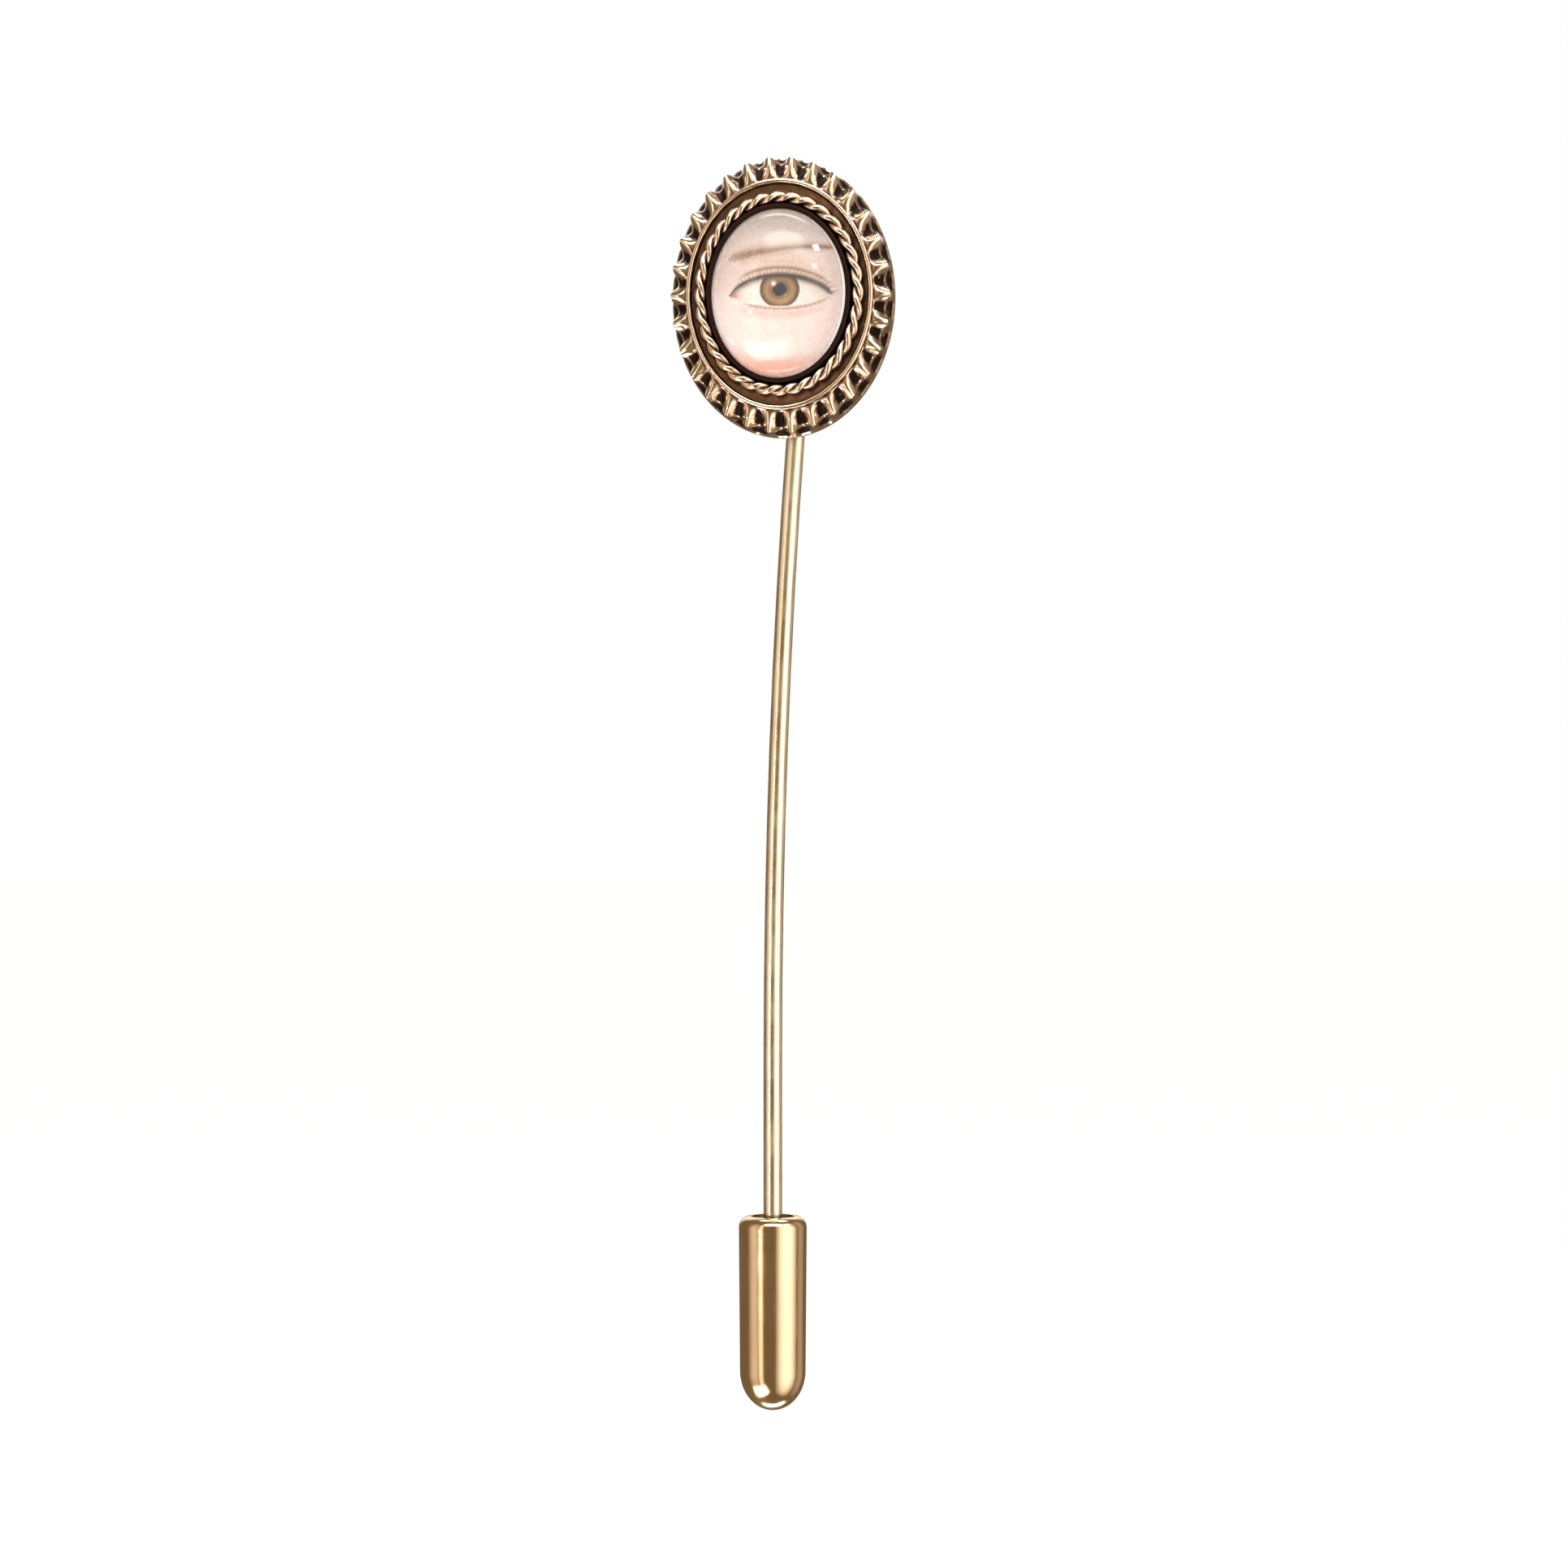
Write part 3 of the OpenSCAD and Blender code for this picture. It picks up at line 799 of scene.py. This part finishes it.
# %% Skin of the painting
reach = np.hypot(u / plaque_oval[0] * MM, v / plaque_oval[1] * MM)
picture = np.tile(np.array([234, 214, 208]) / 255, (len(u), 1))
picture = over(picture, (196, 186, 178), 0.75 * smooth(1.6, 4.3, v))
picture = over(picture, (240, 226, 222), 0.6 * dab((0.1, -2.0), (1.9, 0.9)))
picture = over(picture, (242, 196, 182), 0.45 * dab((0.6, -1.5), (1.7, 0.8)))
# A salmon band along the bottom edge: partly the painting's warm cheek tone, partly painted light for the
# glow that the dome focuses there
picture = over(picture, (232, 134, 108), 0.95 * smooth(-2.3, -4.1, v + 0.1 * u))
picture = over(picture, (196, 176, 164), 0.5 * dab((-2.7, 0.9), (0.9, 1.2)))
picture = over(picture, (202, 186, 174), 0.4 * dab((2.8, 0.2), (0.9, 1.3)))
# Painted reflection: a pale band round the edge stands for the glass's bright rim
picture = over(picture, (232, 222, 214), 0.45 * smooth(0.82, 1.0, reach))

# %% [markdown]
# The lids are two bows between the same corners. The white and the iris are laid only
# between them, so the lids cut the iris as they do on a face.

# %% Lids, white and iris
EYE_SHARE = 0.6
EYE_HALF = EYE_SHARE * plaque_oval[0] / MM
OPENING = 2 * EYE_HALF / 3
UPPER_RISE = 0.62 * OPENING
LOWER_FALL = 0.38 * OPENING
CORNER_LIFT = 0.05
side = u / EYE_HALF
bow = np.clip(1 - side ** 2, 0, 1)
tilt = CORNER_LIFT * side
upper = tilt + UPPER_RISE * bow ** 0.72 * (1 - 0.08 * side)
lower = tilt - LOWER_FALL * bow ** 0.85 * (1 + 0.14 * side)
hollow = dab((0, 1.1 * UPPER_RISE), (EYE_HALF, 0.9)) * smooth(-0.2, 0.6, v)
picture = over(picture, (186, 154, 136), 0.55 * hollow)
picture = over(picture, (198, 164, 148), 0.5 * line(lower - 0.4, 0.2, -0.95 * EYE_HALF, 1.05 * EYE_HALF, 0.9))
picture = over(picture, (222, 190, 172), 0.6 * line(upper + 0.17, 0.10, -0.8 * EYE_HALF, EYE_HALF, 0.5))
crease = line(upper + 0.34, 0.08, -0.9 * EYE_HALF, 1.08 * EYE_HALF, 0.7)
picture = over(picture, (136, 102, 84), 0.75 * crease)
SOFT = 0.035
within = smooth(-SOFT, SOFT, upper - v) * smooth(-SOFT, SOFT, v - lower) * (abs(side) < 1)
picture = over(picture, (226, 220, 212), within)
picture = over(picture, (196, 166, 154), within * 0.6 * abs(side) ** 2.5)
picture = over(picture, (204, 128, 114), within * 0.9 * dab((-0.9 * EYE_HALF, -0.03), (0.2, 0.16)))

IRIS = 0.39 * EYE_HALF
PUPIL = 0.36 * IRIS
IRIS_UP = IRIS - LOWER_FALL - 0.1 * IRIS
ring = np.hypot(u, v - IRIS_UP)
turn = np.arctan2(v - IRIS_UP, u)
fibres = 0.5 + 0.5 * np.cos(41 * turn + 2.2 * np.sin(5 * turn) + 1.3 * np.sin(9 * turn))
disc = within * smooth(IRIS + 0.03, IRIS - 0.03, ring)
picture = over(picture, (134, 98, 62), disc)
outer_ring = np.exp(-((ring / IRIS - 0.66) / 0.17) ** 2) * (0.25 + 0.5 * fibres)
picture = over(picture, (180, 142, 90), disc * outer_ring)
picture = over(picture, (190, 156, 104), disc * 0.4 * dab((0.3 * IRIS, IRIS_UP - 0.5 * IRIS), (0.4, 0.25)))
inner_ring = np.exp(-((ring / IRIS - 0.45) / 0.09) ** 2) * (0.5 + 0.5 * fibres)
picture = over(picture, (104, 66, 38), disc * 0.6 * inner_ring)
picture = over(picture, (70, 46, 30), disc * 0.85 * smooth(0.74, 1.0, ring / IRIS))
picture = over(picture, (24, 18, 17), within * smooth(PUPIL + 0.03, PUPIL - 0.03, ring))
picture = over(picture, (66, 50, 44), within * 0.7 * np.exp(-(np.clip(upper - v, 0, 9) / 0.2) ** 2))
picture = over(picture, (255, 252, 246), within * 0.95 * dab((-0.25, IRIS_UP + 0.27), (0.11, 0.12)))
picture = over(picture, (222, 228, 230), within * 0.3 * dab((0.24, IRIS_UP - 0.25), (0.1, 0.08)))

# %% [markdown]
# Each lash and each hair of the brow is a short stroke from a root. The strokes turn with
# their place along the lid or the brow, and a sine of its number makes each one differ.

# %% Lashes
LASHES = 27
LOW_LASHES = 18
half_lash = 0.06 + 0.03 * (side + 1)
picture = over(picture, (240, 206, 192), 0.7 * line(lower - 0.05, 0.05, -0.84 * EYE_HALF, 0.92 * EYE_HALF))
picture = over(picture, (142, 108, 92), 0.5 * line(lower - 0.13, 0.065, -0.74 * EYE_HALF, EYE_HALF))
picture = over(picture, (50, 37, 32), 0.9 * line(upper, half_lash, -0.97 * EYE_HALF, 1.07 * EYE_HALF, 0.3))
spread = np.linspace(-0.78, 1.0, LASHES)
roots = [(x * EYE_HALF, np.interp(x * EYE_HALF, np.sort(u), upper[np.argsort(u)])) for x in spread]
wobble = np.sin(np.arange(LASHES) * 2.4)
lashes = hairs(roots, 92 - 52 * spread + 6 * wobble, 0.2 + 0.1 * (spread + 1) + 0.06 * wobble, 0.05, 0.8)
picture = over(picture, (66, 50, 42), 0.5 * lashes)
low_spread = np.linspace(-0.55, 0.95, LOW_LASHES)
low_lean = -92 + 45 * low_spread + 7 * np.sin(np.arange(LOW_LASHES) * 1.9)
low_length = 0.15 + 0.05 * np.sin(np.arange(LOW_LASHES) * 2.7)
roots = [(x * EYE_HALF, np.interp(x * EYE_HALF, np.sort(u), lower[np.argsort(u)]) - 0.1) for x in low_spread]
lashes = hairs(roots, low_lean, low_length, 0.04, -0.4)
picture = over(picture, (112, 86, 74), 0.35 * lashes)

# %% Brow
BROW_HAIRS = 64
BROW_START = -1.05 * EYE_HALF
BROW_LONG = 2.3 * EYE_HALF
BROW_LOW = UPPER_RISE + 0.4 * OPENING
BROW_ARCH = 0.5 * OPENING


def brow_height(along):
    """An arch that is highest two thirds of the way along."""
    return BROW_LOW + BROW_ARCH * np.sin(np.pi * (0.06 + 0.66 * along))


across_brow = np.clip((u - BROW_START) / BROW_LONG, 0, 1)
thick = 0.08 + 0.24 * (1 - across_brow) ** 0.7 * smooth(0, 0.15, across_brow)
brow_end = BROW_START + BROW_LONG
brow = line(brow_height(across_brow), thick, BROW_START, brow_end, 0.7)
picture = over(picture, (156, 124, 98), 0.6 * brow)
brow_at = np.linspace(0.04, 0.93, BROW_HAIRS)
lift = 0.5 * np.sin(np.arange(BROW_HAIRS) * 2.4)
roots = [(BROW_START + BROW_LONG * w, brow_height(w) + 0.2 * (1 - w) * (k - 0.35))
         for w, k in zip(brow_at, lift)]
strands = hairs(roots, 78 - 82 * brow_at ** 0.6, np.full(BROW_HAIRS, 0.34), 0.05, 0.35)
picture = over(picture, (110, 80, 58), 0.5 * strands)

# %% [markdown]
# The palette's numbers are as seen on a screen, and Blender reckons light itself, so they
# are converted once. Fine noise then stipples the paint as a miniature painter's brush
# does, and a slower one yellows it in patches.

# %% Paint


def painted(name):
    made, tree, shader = material(name)
    colours = node(tree, "ShaderNodeAttribute", attribute_name="painting").outputs["Color"]
    stipple = noise(tree, (7500, 7500, 7500), detail=3)
    cloudy = noise(tree, (520, 520, 520), detail=4)
    clouds = mixed(tree, ramp(tree, cloudy, 0.35, 0.75), rgb(1, 1, 1), rgb(1, 0.95, 0.90))
    warm = mixed(tree, 1.0, colours, clouds, "MULTIPLY")
    flecks = mixed(tree, ramp(tree, stipple, 0.3, 0.7), rgb(0.86, 0.84, 0.83), rgb(1, 1, 1))
    tree.links.new(mixed(tree, 1.0, warm, flecks, "MULTIPLY"), shader.inputs["Base Color"])
    tree.links.new(ramp(tree, stipple, 0.3, 0.7, 0.42, 0.6), shader.inputs["Roughness"])
    shader.inputs["Specular IOR Level"].default_value = 0.05
    bump(tree, shader, stipple, 0.000006, 0.5)
    return made


light = np.clip(picture, 0, 1)
light = np.where(light <= 0.04045, light / 12.92, ((light + 0.055) / 1.055) ** 2.4)
kept = plaque.data.color_attributes.new("painting", "FLOAT_COLOR", "POINT")
kept.data.foreach_set("color", np.hstack([light, np.ones((len(light), 1))]).astype(np.float32).ravel())
select_only(plaque)
bpy.ops.object.shade_smooth_by_angle(angle=math.radians(30))
on_head(plaque)
plaque.data.materials.append(painted("paint"))
stand_for(plaque, "painted_plaque", "pin")

# %% [markdown]
# ## The studio
#
# The camera stands seven degrees to the right of straight ahead, level with the middle of
# the pin, and far enough away for a long lens to keep its sides nearly parallel.

# %% Camera
CAMERA_TURN = math.radians(7)
CAMERA_REACH = 210 * MM
low, high = cad_box
right = Vector((math.cos(CAMERA_TURN), math.sin(CAMERA_TURN), 0))
back = Vector((math.sin(CAMERA_TURN), -math.cos(CAMERA_TURN), 0))
aim = Vector((0, 0, (low[2] + high[2]) / 2 + 0.17 * MM)) + right * 0.6 * MM
bpy.ops.object.camera_add(location=aim + back * CAMERA_REACH)
camera = bpy.context.object
camera.rotation_euler = (-back).to_track_quat("-Z", "Y").to_euler()
camera.data.lens = 90
camera.data.clip_start = 0.002
camera.data.clip_end = 20
bpy.context.scene.camera = camera

# %% [markdown]
# Polished gold shows the room, so the lamps are placed for their reflections. Each strip of
# a round bar mirrors what stands at twice that strip's angle from the camera. A large soft
# box on the right gives the wide pale band, a narrow one on the left gives the thin yellow
# band, and the dim warm room between them gives the dark stripe. The sparks are small and
# bright, for the highlights in the glass. The fill in front lights the painting, and it is
# left out of reflections.

# %% Lamps


def soft_box(name, turn, rise, reach, width, tall, brightness, colour=(1, 1, 1), fade=0.25):
    """A lamp turned round the pin and raised by angles, whose light fades towards its edges."""
    a, up = math.radians(turn), math.radians(rise)
    towards = Vector((math.sin(a) * math.cos(up), -math.cos(a) * math.cos(up), math.sin(up)))
    spot = aim + towards * reach
    bpy.ops.object.light_add(type="AREA", location=spot)
    lamp = bpy.context.object
    lamp.name = name
    lamp.visible_camera = False
    lamp.data.shape = "RECTANGLE"
    lamp.data.size = width
    lamp.data.size_y = tall
    lamp.data.energy = brightness * math.pi * width * tall
    lamp.data.color = colour
    lamp.rotation_euler = (-towards).to_track_quat("-Z", "Y").to_euler()
    lamp.data.use_nodes = True
    tree = lamp.data.node_tree
    spread = node(tree, "ShaderNodeNewGeometry").outputs["Parametric"]
    cloth = node(tree, "ShaderNodeSeparateXYZ", {"Vector": spread})
    edges = []
    for side in ("X", "Y"):
        near = ramp(tree, cloth.outputs[side], 0.0, fade)
        far = ramp(tree, cloth.outputs[side], 1.0, 1.0 - fade)
        edges.append(product(tree, near, far))
    tree.links.new(product(tree, *edges), tree.nodes["Emission"].inputs["Strength"])
    return lamp


soft_box("right_box", 57, 0, 0.38, 0.66, 1.5, 1.6, (1, 0.97, 0.92), 0.4)
soft_box("right_rim", 118, 0, 0.5, 0.34, 1.2, 0.26, (1, 0.88, 0.80))
soft_box("left_strip", -34, 0, 0.45, 0.14, 1.3, 1.08, (1, 0.86, 0.62))
soft_box("left_fill", -60, 0, 0.5, 0.5, 1.3, 0.62, (1, 0.84, 0.80), 0.4)
soft_box("top_box", 8, 52, 0.42, 0.42, 0.22, 5.2)
soft_box("low_box", -50, -50, 0.42, 0.42, 0.22, 4.4, (1, 0.95, 0.9))
soft_box("crown_box", 180, 72, 0.45, 0.4, 0.16, 5.0)
soft_box("keel_box", 180, -72, 0.45, 0.4, 0.16, 5.0)
soft_box("back_box", 190, 25, 0.5, 0.6, 0.5, 1.0)
soft_box("high_spark", 68, 44, 0.45, 0.11, 0.05, 50)
soft_box("low_spark", -37, -6, 0.45, 0.04, 0.025, 50)
front_fill = soft_box("front_fill", 0, 12, 0.6, 0.7, 0.7, 1.45)
front_fill.visible_glossy = False

# %% [markdown]
# The world has two looks. The camera, and rays that have only passed through the glass, see
# white paper. Every other ray sees a dim warm room, which is what the gold mirrors.

# %% World
world = bpy.data.worlds.new("studio")
bpy.context.scene.world = world
world.use_nodes = True
tree = world.node_tree
tree.nodes.clear()
ray = node(tree, "ShaderNodeLightPath").outputs
unscattered = ramp(tree, ray["Diffuse Depth"], 0.0, 1.0, 1.0, 0.0)
through_glass = product(tree, ray["Is Transmission Ray"], unscattered)
seen = product(tree, ray["Is Camera Ray"], through_glass, "MAXIMUM")
room = node(tree, "ShaderNodeBackground", {"Color": rgb(1.0, 0.70, 0.42), "Strength": 0.19})
paper = node(tree, "ShaderNodeBackground", {"Color": rgb(1, 1, 1), "Strength": 1.0})
looks = {0: seen, 1: room.outputs["Background"], 2: paper.outputs["Background"]}
both = node(tree, "ShaderNodeMixShader", looks).outputs["Shader"]
node(tree, "ShaderNodeOutputWorld", {"Surface": both})
bpy.context.scene.view_settings.view_transform = "Standard"

# %% [markdown]
# The floor is a table that glows nearly white, so that it meets the white room without an
# edge. It lies far enough below for the clutch to slide down. It is left out of reflections,
# because a table mirrored in the clutch would hide the lamps' bands.

# %% Floor
FLOOR_DROP = 70 * MM
FLOOR_RADIUS = 4
table_top = (0, 0, low[2] - FLOOR_DROP)
bpy.ops.object.select_all(action="DESELECT")
bpy.ops.mesh.primitive_circle_add(vertices=96, radius=FLOOR_RADIUS, fill_type="NGON", location=table_top)
floor = bpy.context.object
floor.name = "floor"
floor.visible_glossy = False
floor.visible_shadow = False
floor_paint, tree, shader = material("floor_paint")
tone = noise(tree, (8, 8, 8), detail=3)
tree.links.new(mixed(tree, tone, rgb(0.10, 0.10, 0.10), rgb(0.08, 0.08, 0.08)), shader.inputs["Base Color"])
shader.inputs["Roughness"].default_value = 0.9
shader.inputs["Specular IOR Level"].default_value = 0.1
shader.inputs["Emission Color"].default_value = rgb(1, 1, 1)
shader.inputs["Emission Strength"].default_value = 0.985
floor.data.materials.append(floor_paint)
